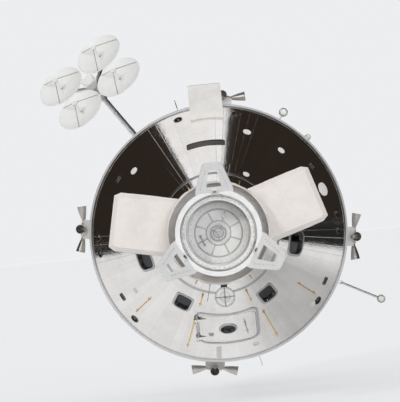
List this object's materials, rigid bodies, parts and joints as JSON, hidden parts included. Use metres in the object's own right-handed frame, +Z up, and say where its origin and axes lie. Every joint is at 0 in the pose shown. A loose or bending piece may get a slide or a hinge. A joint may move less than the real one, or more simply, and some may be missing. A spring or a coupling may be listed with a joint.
{
  "type": "crewed spacecraft with docking module",
  "caption": "Conical crew module on a cylindrical service module, with a docking module on its nose, a folding dish antenna, a gimballed engine and thruster quads.",
  "frame": {"origin": "centre of the service module's aft ring, on the plane where it bolts to its adapter", "axes": "nose along -Y, engine along +Y, umbilical side up along +Z, side hatch facing down and forward"},
  "size_m": [5.1384, 13.2838, 5.6679],
  "materials": {
    "white_panel": "satin white paint on honeycomb panels",
    "radiator": "white radiator paint",
    "silver_foil": "creased silvered film tape",
    "bare_metal": "machined aluminium",
    "dark_metal": "dark heat-stained metal",
    "bell_metal": "heat-stained nozzle alloy",
    "shroud_metal": "thin polished heat shield",
    "blanket": "quilted white insulation",
    "cover_paint": "white covers",
    "ring_metal": "anodised ring",
    "dish_white": "white dish paint",
    "pane": "dark coated glass",
    "cabin_grey": "grey cabin paint",
    "couch_cloth": "beige glass cloth",
    "target_black": "matt black",
    "lamp": "clear lamp glass"
  },
  "bodies": {
    "craft": {"service_module_core": "bare_metal", "bay_1_panel": "white_panel", "bay_2_panel": "white_panel", "bay_3_panel": "white_panel", "bay_4_panel": "white_panel", "bay_5_panel": "white_panel", "bay_6_panel": "white_panel", "cabin_radiator_left": "radiator", "cabin_radiator_right": "radiator", "module_fairing": "white_panel", "power_radiators": "radiator", "thruster_quad_1": "white_panel", "thruster_quad_2": "white_panel", "thruster_quad_3": "white_panel", "thruster_quad_4": "white_panel", "thruster_bells": "dark_metal", "engine_heat_shield": "shroud_metal", "aft_heat_shield": "silver_foil", "crew_cone": "silver_foil", "window_panes": "pane", "cabin_floor": "cabin_grey", "crew_couches": "couch_cloth", "instrument_panel": "cabin_grey", "forward_heat_shield": "silver_foil", "docking_tunnel": "bare_metal", "umbilical_cover": "white_panel", "docking_adapter_cone": "blanket", "docking_module_hull": "blanket", "docking_collar": "ring_metal", "tank_cover_left": "cover_paint", "tank_cover_right": "cover_paint", "docking_target": "target_black", "boom_bracket": "bare_metal", "pole_bracket": "bare_metal", "scimitar_antennas": "bare_metal", "flashing_beacon": "lamp", "docking_spotlight": "bare_metal"},
    "engine_gimbal": {"engine_gimbal_ring": "dark_metal"},
    "engine": {"engine_chamber": "dark_metal", "engine_bell": "bell_metal"},
    "hatch": {"side_hatch": "silver_foil", "hatch_pane": "pane"},
    "guide": {"guide_ring": "ring_metal", "attenuator_struts": "bare_metal"},
    "tunnel_hatch": {"docking_module_hatch": "cabin_grey"},
    "boom": {"antenna_boom": "bare_metal"},
    "yoke": {"antenna_yoke": "bare_metal"},
    "dishes": {"dish_frame": "bare_metal", "dish_reflectors": "dish_white", "dish_horn": "dish_white"},
    "pole": {"floodlight_pole": "bare_metal", "floodlight": "bare_metal"}
  },
  "joints": [
    {"name": "engine_pitch", "type": "hinge", "parent": "craft", "child": "engine_gimbal", "pos_m": [0, -0.15, 0], "axis": [1, 0, 0], "range_deg": [-6, 6]},
    {"name": "engine_yaw", "type": "hinge", "parent": "engine_gimbal", "child": "engine", "pos_m": [0, -0.15, 0], "axis": [0, 0, 1], "range_deg": [-7, 7]},
    {"name": "hatch_swing", "type": "hinge", "parent": "craft", "child": "hatch", "pos_m": [-0.464, -5.4622, -1.4068], "axis": [0, 0.8387, -0.5446], "range_deg": [0, 100]},
    {"name": "guide_ring_slide", "type": "slide", "parent": "craft", "child": "guide", "axis": [0, 1, 0], "range_m": [0, 0.2]},
    {"name": "tunnel_hatch_swing", "type": "hinge", "parent": "craft", "child": "tunnel_hatch", "pos_m": [0, -9.22917, 0.49], "axis": [1, 0, 0], "range_deg": [0, 80]},
    {"name": "boom_fold", "type": "hinge", "parent": "craft", "child": "boom", "pos_m": [-1.04594, 0.095, 1.50772], "axis": [-0.8216, 0, -0.57], "range_deg": [0, 90]},
    {"name": "antenna_turn", "type": "hinge", "parent": "boom", "child": "yoke", "pos_m": [-1.72994, 0.095, 2.4937], "axis": [-0.57, 0, 0.8216], "range_deg": [-180, 0]},
    {"name": "antenna_tilt", "type": "hinge", "parent": "yoke", "child": "dishes", "pos_m": [-1.72994, 0.095, 2.4937], "axis": [0.8216, 0, 0.57], "range_deg": [-130, 50]},
    {"name": "pole_fold", "type": "hinge", "parent": "craft", "child": "pole", "pos_m": [1.80272, -3.8, -0.94846], "axis": [0.4656, 0, 0.885], "range_deg": [0, 88]}
  ]
}
